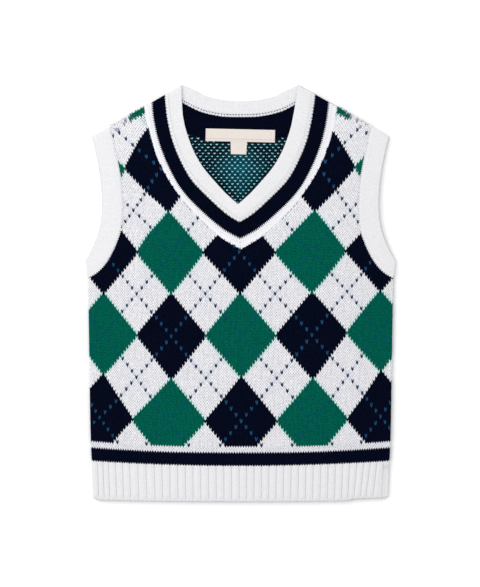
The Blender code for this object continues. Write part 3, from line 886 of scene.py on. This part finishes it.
def makeFrontPanel():
    x, h, faces = panelGrid(frontNeck, panels["front"])
    floor = standOff(x, h)
    top = floor + cloth["wall"] * panelShare(frontSeams, x, h) - stitchDepth
    sheet = closedSheet("frontBacking", x, h, top, floor, faces, argyleChart(x, h), [groundCloth])
    u, v, at, wide = stitchGrid(frontSeams)
    yarn = shoulderYarn(u, v, yarnAt(u, v))
    stitches = knitArgyle("frontStitches", frontSurface, at, v, wide, yarn, (knitStitch, dotStitch), seed=1)
    join = panels["hemJoin"]
    u = np.arange(-join["columns"], join["columns"] + 1.0)
    u = u[np.abs(argylePlace(u, join["course"])[0]) < cloth["hemTopWidth"] - join["inset"]]
    cells = (u, join["course"], 1.0, join["tall"])
    stitches.append(knit("frontStitches.hemJoin", hemJoinSurface, cells, knitStitch, yarns["navy"], seed=9))
    return sheet, stitches


def hemJoinSurface(u, v):
    return frontSurface(u, v) + (0, 0, panels["hemJoin"]["rise"])


declareSheet(
    makeFrontPanel(), "front_panel")

# the back: argyle below, where it lies on the surface, and the flecked reverse of the knit above

reverse = dict(
    reach=(62.0, 268.0, 372.0),  # part seen through the neck: half width, lowest and highest place, mm
    flecks=("#80BED2", "#B8DDEE"), navyFlecks=("#01202E", "#063C4C"), greenFlecks=("#00362F", "#015049"),
    # middle is the loose yarn's teal; rim is the same yarn darkened as painted shade towards a diamond's rim
    middle=("#053C48", "#07505C"), rim=("#01090E", "#02161F"),  # the loose yarn between them, in a diamond
    sink=0.35, underRise=0.5,  # depth of the backing below its tops, and its height above the surface
)
fleckWhite = clothMaterial("whiteFleckYarn", reverse["flecks"])
fleckNavy = clothMaterial("navyFleckYarn", reverse["navyFlecks"])
fleckGreen = clothMaterial("greenFleckYarn", reverse["greenFlecks"])


def backUnderside(u, v):
    x, h = argylePlace(u, v)
    rise = cloth["wall"] * (1 - foldShare(polylineDistance(np.abs(x), h, backSeams["side"])))
    return stacked(x, h, rise + reverse["underRise"] + 0.16)


def backInside(u, v):
    x, h = argylePlace(u, v)
    return stacked(x, h, np.full_like(x, cloth["wall"] - reverse["sink"]))


def makeBackPanel():
    x, h, faces = panelGrid(backNeck, panels["back"])
    rise = cloth["wall"] * (1 - foldShare(polylineDistance(np.abs(x), h, backSeams["side"])))
    low = np.minimum(rise + reverse["underRise"], cloth["wall"] - reverse["sink"] - 0.4)
    top = np.full_like(x, cloth["wall"] - reverse["sink"])
    sheet = closedSheet(
        "backBacking", x, h, top, low, faces, argyleChart(x, h), [reverseBacking, groundCloth], lowMaterial=1)
    u, v, at, wide = stitchGrid(backSeams)
    yarn = yarnAt(u, v)
    stitches = knitArgyle(
        "backStitches", backUnderside, at, v, wide, yarn, (plainStitch, plainStitch), seed=11, facing=-1)
    x, h = argylePlace(u, v)
    halfWidth, bottom, top = reverse["reach"]
    seen = (np.abs(x) < halfWidth) & (h > bottom) & (h < top)
    u, v, yarn = u[seen], v[seen], yarn[seen]
    white = (u + v) % 2 == 0
    green = ~white & ((yarn == "navy") | (v % 4 < 2))
    for key, chosen, material in (
        ("white", white, fleckWhite), ("green", green, fleckGreen), ("navy", ~white & ~green, fleckNavy),
    ):
        cells = (u[chosen], v[chosen], 1.0, 1.0)
        stitches.append(knit(
            f"backFlecks.{key}", backInside, cells, fleckStitch, material, sizeChange=0.1, seed=21))
    return sheet, stitches


reverseBacking = clothMaterial("reverseBacking", None, speckle=6.0, ground=reverseGroundPaintedShade)
declareSheet(makeBackPanel(), "back_panel")

neckBand = dict(
    pitch=3.3, courses=6, frontFlat=(0.147, 0.0165), backFlat=(0.14, 0.016),
    backFloor=0.5, backWall=1.5, backRise=0.3,  # mm
    lean=((385.0, -2.6), (416.0, -1.0)), ribLean=(1.0, 0.42), stripeLean=(0.42, 0.0),
)
bandCloth = dict(
    wall=2.1, rise=1.0, underRise=0.35,  # mm
    freeLeft=0.93, edgeRise=0.35,  # share left of the wall at the free edge, and of a rib's rise at both
    acrossPlaces=(0.0, 0.03, 0.07, 0.13, 0.22, 0.5, 0.7, 0.9, 0.95, 1.0),
    edgeShare=0.05,  # rim along the free edge, that the last course's tips end on, as a share of the width
)
# How a rib is raised from valley to valley, where its knit columns' middles are, and the places that draw it
narrowRib = dict(valley=0.0, round=0.45, rise=0.2, tilt=0.8, knitAt=(0.5,), knitWide=1.0, places=(
    0, 0.08, 0.2, 0.5, 0.8, 0.92))
armRib = dict(valley=0.0, round=0.4, rise=0.08, tilt=0.5, knitAt=(0.25, 0.75), knitWide=0.52, places=(
    0, 0.04, 0.1, 0.2, 0.35, 0.5, 0.65, 0.8, 0.9, 0.96))
hemRib = dict(valley=0.02, round=0.36, rise=1.0, tilt=1.2, knitAt=(0.3, 0.7), knitWide=0.47, places=(
    0, 0.025, 0.05, 0.09, 0.15, 0.24, 0.36, 0.5, 0.64, 0.76, 0.85, 0.91, 0.95, 0.975))
flatKnit = dict(valley=0.0, round=0.0, rise=0.0, tilt=1.0, knitAt=(0.5,), knitWide=1.0, places=(0, 0.5))


def ribCrest(u, rib):
    # 0 in the valleys and 1 along a rib's top, with rounded shoulders
    if not rib["rise"]:
        return np.zeros_like(u)
    f = u % 1.0
    s = np.clip((np.minimum(f, 1 - f) - rib["valley"]) / rib["round"], 0.0, 1.0)
    return np.sqrt(1 - (1 - s) ** 2)


def ribEdge(s, seamLeft=0.66):
    left = (bandCloth["freeLeft"], 0.955, 0.975, 0.99, 1.0, 1.0, seamLeft)
    return np.interp(s, (0.0, 0.03, 0.07, 0.13, 0.22, 0.93, 1.0), left)


def stripeEdge(s):
    return np.interp(s, (0.0, 0.08, 0.92, 1.0), (0.92, 1.0, 1.0, 0.85))


def riseEdge(s):
    left = bandCloth["edgeRise"]
    return np.interp(s, (0.0, 0.11, 0.9, 1.0), (left, 1.0, 1.0, left))


def hemSideDistance(x, h):
    return cloth["hemWidth"] + (cloth["hemTopWidth"] - cloth["hemWidth"]) * h / cloth["hemTop"] - np.abs(x)


def neckLean(h):
    # the V doesn't lie quite straight: how far its free edge is drawn to the left, less towards the shoulders
    return tableValue(h, neckBand["lean"])


def bandPlace(rows, columns, side=1, first=0.0, last=cloth["seamHalf"], centreGap=0.0, lean=(0.0, 0.0)):
    # places on a band: t from 0 to 1 along it, s from 0 at its inner or free edge to 1 at its seam. lean is
    # the part of the neck's lean that each of these edges has.
    table = splineTable([[row[c] for c in columns] for row in rows])

    def place(t, s):
        ends = atShares(table, t)
        a, b = ends[:, :2], ends[:, 2:]
        width = np.hypot(*(b - a).T)
        share = first / width + s * (1 - (first + last) / width)
        p = a + (b - a) * share[:, None]
        x = side * (np.maximum(p[:, 0], centreGap) if centreGap else p[:, 0])
        return x + neckLean(p[:, 1]) * (lean[0] + (lean[1] - lean[0]) * share), p[:, 1]

    return place, table[1][-1]


def hemPlace(t, s):
    across = 2 * tableValue(t * hemBand["ribs"], hemBand["spacing"]) - 1
    topX, top = across * cloth["hemTopWidth"], hemRibTop(across * cloth["hemTopWidth"])
    share = s * (1 - cloth["seamHalf"] / cloth["hemTop"])
    x = across * cloth["hemWidth"] + (topX - across * cloth["hemWidth"]) * share
    corner = smooth((np.abs(across) - hemBand["cornerFrom"]) / (1 - hemBand["cornerFrom"])) ** 2
    bottom = cloth["hemLift"] * across ** 2 + hemBand["cornerLift"] * corner
    bottom = bottom + tableValue(across, hemBand["rightLift"])
    return x, bottom + (top - bottom) * share


def ribYarn(course):
    return "rib"


def makeBand(
    name, place, ribs, rib, heights, courseEdges, yarnOf=ribYarn, backing=whiteBacking, facing=1, links=0,
):
    # heights(x, h, s, crest) gives the lower and the upper face. courseEdges are the shares of the width at
    # which the courses meet, from the free edge, and yarnOf(course) names each one's yarn, counted so too.
    # links is the number of bound-off stitches along the free edge. Returns the backing and its stitches.
    courses = len(courseEdges) - 1
    counts = np.arange(courses + 1)
    depth = ribDepth if rib["rise"] else stitchDepth
    along = [(k + place) / ribs for k in range(ribs) for place in rib["places"]]
    t, s = np.meshgrid([*along, 1.0], bandCloth["acrossPlaces"], indexing="ij")
    shape = t.shape
    t, s = t.ravel(), s.ravel()
    x, h = place(t, s)
    crest = ribCrest(t * ribs, rib)
    low, top = heights(x, h, s, crest)
    if facing > 0:
        top = top - depth
    else:
        low = low + stitchDepth + 0.06
    chart = (t * ribs, np.interp(s, courseEdges, counts))
    sheet = closedSheet(name, x, h, top, low, gridFaces(shape), chart, [backing])

    def surface(u, v):
        s = np.interp(v, counts, courseEdges)
        x, h = place(np.clip(u / ribs, 0, 1), s)
        low, top = heights(x, h, s, ribCrest(u, rib))
        return stacked(x, h, top - depth if facing > 0 else low + stitchDepth + 0.2)

    def upward(u, v):  # courses are knitted from the seam towards the free edge
        return surface(u, courses - v)

    sets = {}
    for k in range(ribs):
        for course in range(courses):
            cells = sets.setdefault(yarnOf(courses - 1 - course), [])
            cells += [(k + at, course + 0.5, rib["knitWide"], 1.0) for at in rib["knitAt"]]
    pieces = []
    for yarn, cells in sets.items():
        template = plainStitch if facing < 0 else ribStitch if yarn in ("rib", "stripe") else knitStitch
        pieces.append(knit(
            f"{name}.knit.{yarn}", upward, np.array(cells).T, template, yarns[yarn], facing, seed=31,
            tilt=rib["tilt"]))
    if links:
        step = ribs / links
        cells = (hemBand["chainAt"], (np.arange(links) + 0.5) * step, hemBand["chainWide"], step)
        pieces.append(knit(
            f"{name}.boundEdge", lambda u, v: surface(v, u), cells, ribStitch, yarns[yarnOf(0)], seed=41))
    return sheet, pieces


def evenCourses(count, start=0.0):
    return np.linspace(start, 1, count + 1)


def raisedBand(rib, fold, seamLeft=0.66):
    # a ribbed band of the front layer, as high in all whatever the depth of its valleys
    base = bandCloth["wall"] + bandCloth["rise"] - rib["rise"]

    def heights(x, h, s, crest):
        floor, folded = standOff(x, h), foldShare(fold(x, h))
        return floor, floor + (base * ribEdge(s, seamLeft) + rib["rise"] * crest * riseEdge(s)) * folded
    return heights


def flatBand(floor, wall, rise=0.0, edge=None):
    # a band of the back layer, flat below
    def heights(x, h, s, crest):
        share = edge(s) if edge else np.ones_like(s)
        return np.full_like(x, floor), floor + wall * share + rise * crest * riseEdge(s)
    return heights


def undersideBand():
    # the same seen from below: its ribs stand towards the surface that it lies on
    def heights(x, h, s, crest):
        return bandCloth["underRise"] * (1 - crest), np.full_like(x, cloth["wall"])
    return heights


hemBand = dict(
    courses=13, edgeShare=0.026, flat=(0.2965, 0.037), ribs=41, cornerLift=2.6, cornerFrom=0.95,
    linkPitch=2.4, chainAt=0.12, chainWide=0.55,  # bound-off edge: pitch, mm, its place and width in courses
    # how the ribs are spread, closer at the left, where the cloth is slack: count of ribs, share of the width
    spacing=((0, 0.0), (3, 0.056), (6, 0.127), (9, 0.21), (20, 0.496), (32, 0.795), (35, 0.868), (37, 0.9156),
             (40, 0.9805), (41, 1.0)),
    # the right end lies a little higher, and the front's is drawn in, so that the back shows beside it: how
    # high it lies and how far its ribs lean, mm, by the share of the half width, and how far in it folds down
    rightLift=((0.72, 0.0), (0.78, 1.5), (0.95, 2.0), (1.0, 1.0)),
    lean=((0.68, 0.0), (0.78, -2.0), (0.88, -3.6), (0.94, -2.2), (0.965, 0.0), (1.0, 0.0)),
    drawnIn=5.2, drawnFrom=5.0,
)


def hemFrontPlace(t, s):
    x, h = hemPlace(t, s)
    return x + tableValue(x / cloth["hemWidth"], hemBand["lean"]) * (1 - s), h


def hemFrontDistance(x, h):
    drawn = hemBand["drawnIn"] * smooth((cloth["hemTop"] - h) / hemBand["drawnFrom"])
    return hemSideDistance(x, h) - np.where(x > 0, drawn, 0.0)


def makeHem():
    ribs, courses = hemBand["ribs"], hemBand["courses"]
    front = makeBand(
        "hemFront", hemFrontPlace, ribs, hemRib, raisedBand(hemRib, hemFrontDistance),
        evenCourses(courses, hemBand["edgeShare"]), links=round(2 * cloth["hemWidth"] / hemBand["linkPitch"]))
    declareSheet(front, "hem_rib_front")
    back = makeBand("hemBack", hemPlace, ribs, hemRib, undersideBand(), evenCourses(courses), facing=-1)
    declareSheet(back, "hem_rib_back")


makeHem()


def makeNeckRibs():
    edges = evenCourses(neckBand["courses"], bandCloth["edgeShare"])
    for label, side in (("left", -1), ("right", 1)):
        place, length = bandPlace(
            frontNeck, (0, 1, 2, 3), side, centreGap=cloth["seamHalf"], lean=neckBand["ribLean"])
        made = makeBand(
            f"neckRib.{label}", place, round(length / neckBand["pitch"]), narrowRib,
            raisedBand(narrowRib, shoulderDistance), edges)
        declareSheet(made, f"neck_rib_front_{label}")
    place, length = bandPlace(mirrored(backNeck), (0, 1, 2, 3))
    heights = flatBand(neckBand["backFloor"], neckBand["backWall"], neckBand["backRise"], ribEdge)
    made = makeBand("neckRib.back", place, round(length / neckBand["pitch"]), narrowRib, heights, edges)
    declareSheet(made, "neck_rib_back")


makeNeckRibs()

neckStripes = dict(
    navyCourses=5, pitch=1.85,
    edges=(0, 0.138, 0.276, 0.414, 0.552, 0.69, 0.845, 1.0),  # five navy courses and two taller white ones
    # power of the share of the width, by the share of the length: the navy is narrower at the point of the V
    widening=((0, 1.29), (0.12, 1.15), (0.25, 1.0), (0.37, 0.85), (0.47, 0.85), (0.6, 1.0), (1.0, 1.15)),
    frontFlat=(0.166, 0.022), backFlat=(0.184, 0.0243), facingFlat=(0.184, 0.0243),
    facingCourses=9,
    # the white stitches that join the rib to the navy, and the small dark ones that link the facing along the
    # edge of the rib: pitch, mm, place and height in shares of the width, length in pitches, and mm up
    join=dict(pitch=1.85, at=-0.02, tall=0.07, wide=1.0, rise=2.05),
    linking=dict(pitch=3.3, at=-0.095, tall=0.1, wide=0.85, rise=2.3),
)
stripeBacking = clothMaterial("neckStripeBacking", None, ground=stripeGround)


def stripeYarn(course):
    return "navy" if course < neckStripes["navyCourses"] else "stripe"


def navyYarn(course):
    return "navy"


def frontStripe(x, h, s, crest):
    floor = standOff(x, h)
    return floor, floor + cloth["wall"] * stripeEdge(s) * foldShare(shoulderDistance(x, h))


def seamHeight(row):
    return lambda x, h: standOff(x, h) + row["rise"] * foldShare(shoulderDistance(x, h))


def joinRow(name, place, length, row, height, template, yarn, seed):
    # one row of stitches along a band, at a share of its width
    count = round(length / row["pitch"])

    def surface(u, v):
        x, h = place(np.clip(u / count, 0, 1), -v)
        return stacked(x, h, height(x, h))

    u = np.arange(count) + 0.5
    return knit(name, surface, (u, -row["at"], row["wide"], row["tall"]), template, yarn, seed=seed)


def makeNeckStripes():
    pitch, edges = neckStripes["pitch"], neckStripes["edges"]
    for label, side in (("left", -1), ("right", 1)):
        place, length = bandPlace(
            frontNeck, (2, 3, 4, 5), side, first=cloth["seamHalf"], centreGap=cloth["seamHalf"],
            lean=neckBand["stripeLean"])

        def widened(t, s, place=place):
            return place(t, s ** tableValue(t, neckStripes["widening"]))

        sheet, stitches = makeBand(
            f"neckStripes.{label}", widened, round(length / pitch), flatKnit, frontStripe, edges, stripeYarn,
            stripeBacking)
        stitches.append(joinRow(
            f"neckStripes.{label}.join", place, length, neckStripes["join"], seamHeight(neckStripes["join"]),
            knitStitch, yarns["rib"], seed=51))
        declareSheet(
            (sheet, stitches), f"neck_stripes_front_{label}")
    place, length = bandPlace(mirrored(backNeck), (2, 3, 4, 5), first=cloth["seamHalf"])
    wales = round(length / pitch)
    backWall = cloth["wall"] - cloth["facingWall"] - cloth["gap"]
    made = makeBand(
        "neckStripes.back", place, wales, flatKnit, flatBand(0.0, backWall), edges, stripeYarn, stripeBacking,
        facing=-1)
    declareSheet(made, "neck_stripes_back")
    sheet, stitches = makeBand(
        "neckFacing", place, wales, flatKnit, flatBand(backWall + cloth["gap"], cloth["facingWall"]),
        evenCourses(neckStripes["facingCourses"]), navyYarn, navyBacking)
    row = neckStripes["linking"]
    stitches.append(joinRow(
        "neckFacing.linking", place, length, row, lambda x, h: np.full_like(x, row["rise"]), fleckStitch,
        yarns["dotOnWhite"], seed=52))
    declareSheet(
        (sheet, stitches), "back_neck_facing")


makeNeckStripes()

# The join of the neck bands at the point of the V, drawn with small stitches across it
mitre = dict(
    rows=(("rib", 296.0, 281.0), ("navy", 276.5, 262.0), ("rib", 258.5, 253.0)), pitch=2.9, rise=2.2,
    cell=(1.5, 1.4),  # width and height of a stitch's place, mm
    lean=((252.1, 0.0), (279.8, 0.42), (297.0, 1.0)),
)


def mitreSurface(u, v):
    x = u + neckLean(v) * tableValue(v, mitre["lean"])
    return stacked(x, v, standOff(x, v) + mitre["rise"])


def makeMitre():
    pieces = []
    for yarn, high, low in mitre["rows"]:
        h = np.arange(high, low, -mitre["pitch"])
        cells = (0.0, h, *mitre["cell"])
        name = f"neckMitre.{yarn}.{round(high)}"
        pieces.append(knit(name, mitreSurface, cells, fleckStitch, yarns[yarn], seed=61))
    return pieces


fastened(makeMitre())

armBand = dict(
    pitch=5.0, courses=7, flat=(0.1455, 0.0182), seamLeft=0.88,
    join=dict(pitch=1.7, at=1.015, tall=0.1, wide=1.0, rise=2.5),  # stitches over the seam with the body
)


def makeArmBands():
    for label, side in (("left", -1), ("right", 1)):
        place, length = bandPlace(armhole, (0, 1, 2, 3), side)
        ribs = round(length / armBand["pitch"])
        sheet, stitches = makeBand(
            f"armRib.{label}", place, ribs, armRib, raisedBand(armRib, shoulderDistance, armBand["seamLeft"]),
            evenCourses(armBand["courses"], bandCloth["edgeShare"]))
        stitches.append(joinRow(
            f"armRib.{label}.join", place, length, armBand["join"], seamHeight(armBand["join"]), ribStitch,
            yarns["rib"], seed=53))
        declareSheet(
            (sheet, stitches), f"armhole_rib_front_{label}")
        made = makeBand(
            f"armRibBack.{label}", place, ribs, armRib, undersideBand(), evenCourses(armBand["courses"]),
            facing=-1)
        declareSheet(made, f"armhole_rib_back_{label}")


makeArmBands()

# woven polyester tape with a satin face: cream, a little glossy, with fine threads both ways
tape = dict(
    shades=("#D1C8C1", "#DBD3CC"), line="#A8968A", thread=0.5,  # three times as coarse as real thread
    # mm: its points' step, its rim, the edge over which it thins to a share of its wall, and its fold
    step=0.8, rim=0.25, edge=0.6, edgeLeft=0.55, thinnest=0.1, fold=0.5,
    # the stitches that hold the label down, mm: their two columns, the lowest, the end and the pitch of their
    # rows, and their size
    threads=dict(columns=(-33.7, 31.1), rows=(-5.2, 5.3, 1.5), long=1.25, wide=0.55),
    neckLabel=dict(
        size=(69.3, 12.5), place=(-0.3, 365.9), turn=-1.3, floor=3.0, wall=0.35, taper=0.0, wave=0.12,
        foldFrom=31.4, foldRise=0.3, lineAt=-3.7, flat=(0.0693, 0.0125)),
    sizeTab=dict(
        size=(16.6, 14.2), place=(-1.9, 354.2), turn=-1.3, floor=2.7, wall=0.22, taper=0.6, wave=0.0,
        foldFrom=99.0, foldRise=0.0, lineAt=99.0, flat=(0.0166, 0.0142)),
)


def tapeMaterial(name, spec):
    material = clothMaterial(name, tape["shades"], speckle=0.8, roughness=0.6, fuzz=0.2, gloss=0.3)
    tree = material.node_tree
    shader = tree.nodes["Principled BSDF"]
    across, up, _ = stitchCount(tree)
    turns = [calc(tree, "MULTIPLY", socket, 2 * math.pi / tape["thread"]) for socket in (across, up)]
    weave = calc(tree, "MULTIPLY", *(calc(tree, "SINE", turn) for turn in turns))
    addRelief(tree, shader, weave, 0.35, 0.08)
    plain = shader.inputs["Base Color"].links[0].from_socket
    part = calc(tree, "MULTIPLY", calc(tree, "COMPARE", up, spec["lineAt"], 0.22), 0.75)
    tree.links.new(blend(tree, part, plain, tape["line"]), shader.inputs["Base Color"])
    return material


def tapePlace(spec, x, y):
    # from the tape's own middle to the vest
    c, s = math.cos(math.radians(spec["turn"])), math.sin(math.radians(spec["turn"]))
    narrow = 1 + spec["taper"] * (y / spec["size"][1] - 0.5) / spec["size"][0] * 2
    return spec["place"][0] + x * narrow * c - y * s, spec["place"][1] + x * narrow * s + y * c


def tapeWall(spec, x, y):
    edge = np.minimum(spec["size"][0] / 2 - np.abs(x), spec["size"][1] / 2 - np.abs(y))
    return spec["wall"] * (tape["edgeLeft"] + (1 - tape["edgeLeft"]) * smooth(edge / tape["edge"]))


def tapeTop(spec, x, y):
    fold = spec["foldRise"] * smooth((x - spec["foldFrom"]) / tape["fold"])
    top = spec["floor"] + tapeWall(spec, x, y) + fold
    return top + spec["wave"] * np.sin(x / 7.0) * np.cos(y / 5.0 + x / 11.0)


def edgedSteps(size):
    half, edge, rim = size / 2, tape["edge"], tape["rim"]
    inner = np.linspace(-half + edge, half - edge, round(size / tape["step"]))
    return np.array([-half, -half + rim, *inner, half - rim, half])


def makeTape(name, spec):
    xs, ys = (edgedSteps(size) for size in spec["size"])
    x, y = (grid.ravel() for grid in np.meshgrid(xs, ys, indexing="ij"))
    top = tapeTop(spec, x, y)
    low = np.minimum(top - tapeWall(spec, x, y), top - tape["thinnest"])
    px, ph = tapePlace(spec, x, y)
    material = tapeMaterial(f"{name}Tape", spec)
    return closedSheet(name, px, ph, top, low, gridFaces((len(xs), len(ys))), (x, y), [material])


def labelThreads():
    # small stitches that hold the label down at both ends
    spec, threads = tape["neckLabel"], tape["threads"]

    def surface(u, v):
        x, h = tapePlace(spec, v, u)
        return stacked(x, h, tapeTop(spec, v, u))

    y = np.arange(*threads["rows"])
    cells = (np.tile(y, 2), np.repeat(threads["columns"], len(y)), threads["long"], threads["wide"])
    thread = clothMaterial("labelThread", tape["shades"])
    return knit("neckLabel.threads", surface, cells, fleckStitch, thread, seed=71)


label = (makeTape("neckLabel", tape["neckLabel"]), [labelThreads()])
declareSheet(label, "neck_label")
sizeTab = (makeTape("sizeTab", tape["sizeTab"]), [])
declareSheet(sizeTab, "size_tab")

studio = dict(
    fieldHeight=0.587, centre=(-0.0006, -0.0002), cameraHeight=2.0,
    floorReach=3.0, floorTop=-0.0002, floorColour="#F9F9FA", paperGrain=1.11,
    skyStrength=0.89, keyPower=11.4, keySize=1.4, keyPlace=(-0.62, 0.52, 1.25),
)


def makeStudio():
    floorMesh = bpy.data.meshes.new("floor")
    r, z = studio["floorReach"], studio["floorTop"]
    floorMesh.from_pydata([(-r, -r, z), (r, -r, z), (r, r, z), (-r, r, z)], [], [(0, 1, 2, 3)])
    floor = linkPiece("floor", floorMesh)
    paper, tree, shader = newMaterial("whitePaperSweep", 0.1)
    rough = ranged(tree, noise(tree, studio["paperGrain"], 2.0), low=0.85, high=0.95)
    tree.links.new(rough, shader.inputs["Roughness"])
    shader.inputs["Base Color"].default_value = linear(studio["floorColour"])
    floorMesh.materials.append(paper)

    world = bpy.data.worlds.new("studio")
    bpy.context.scene.world = world
    world.use_nodes = True
    world.node_tree.nodes["Background"].inputs["Color"].default_value = (1.0, 1.0, 1.0, 1.0)
    world.node_tree.nodes["Background"].inputs["Strength"].default_value = studio["skyStrength"]

    light = bpy.data.lights.new("softbox", "AREA")
    light.energy = studio["keyPower"]
    light.size = studio["keySize"]
    lamp = bpy.data.objects.new("softbox", light)
    lamp.visible_camera = False
    x, y, z = studio["keyPlace"]
    lamp.location = (x, y, z)
    lamp.rotation_euler = (math.atan2(math.hypot(x, y), z), 0.0, math.atan2(x, -y))
    bpy.context.collection.objects.link(lamp)

    lens = bpy.data.cameras.new("camera")
    lens.type = "ORTHO"
    lens.ortho_scale = studio["fieldHeight"]
    camera = bpy.data.objects.new("camera", lens)
    camera.location = (*studio["centre"], studio["cameraHeight"])
    bpy.context.collection.objects.link(camera)
    bpy.context.scene.camera = camera
    bpy.context.scene.view_settings.view_transform = "Standard"
    bpy.context.scene.cycles.denoising_prefilter = "NONE"  # keeps the single stitches sharp


makeStudio()
for template in (knitStitch, plainStitch, dotStitch, ribStitch, fleckStitch):
    bpy.data.objects.remove(template, do_unlink=True)
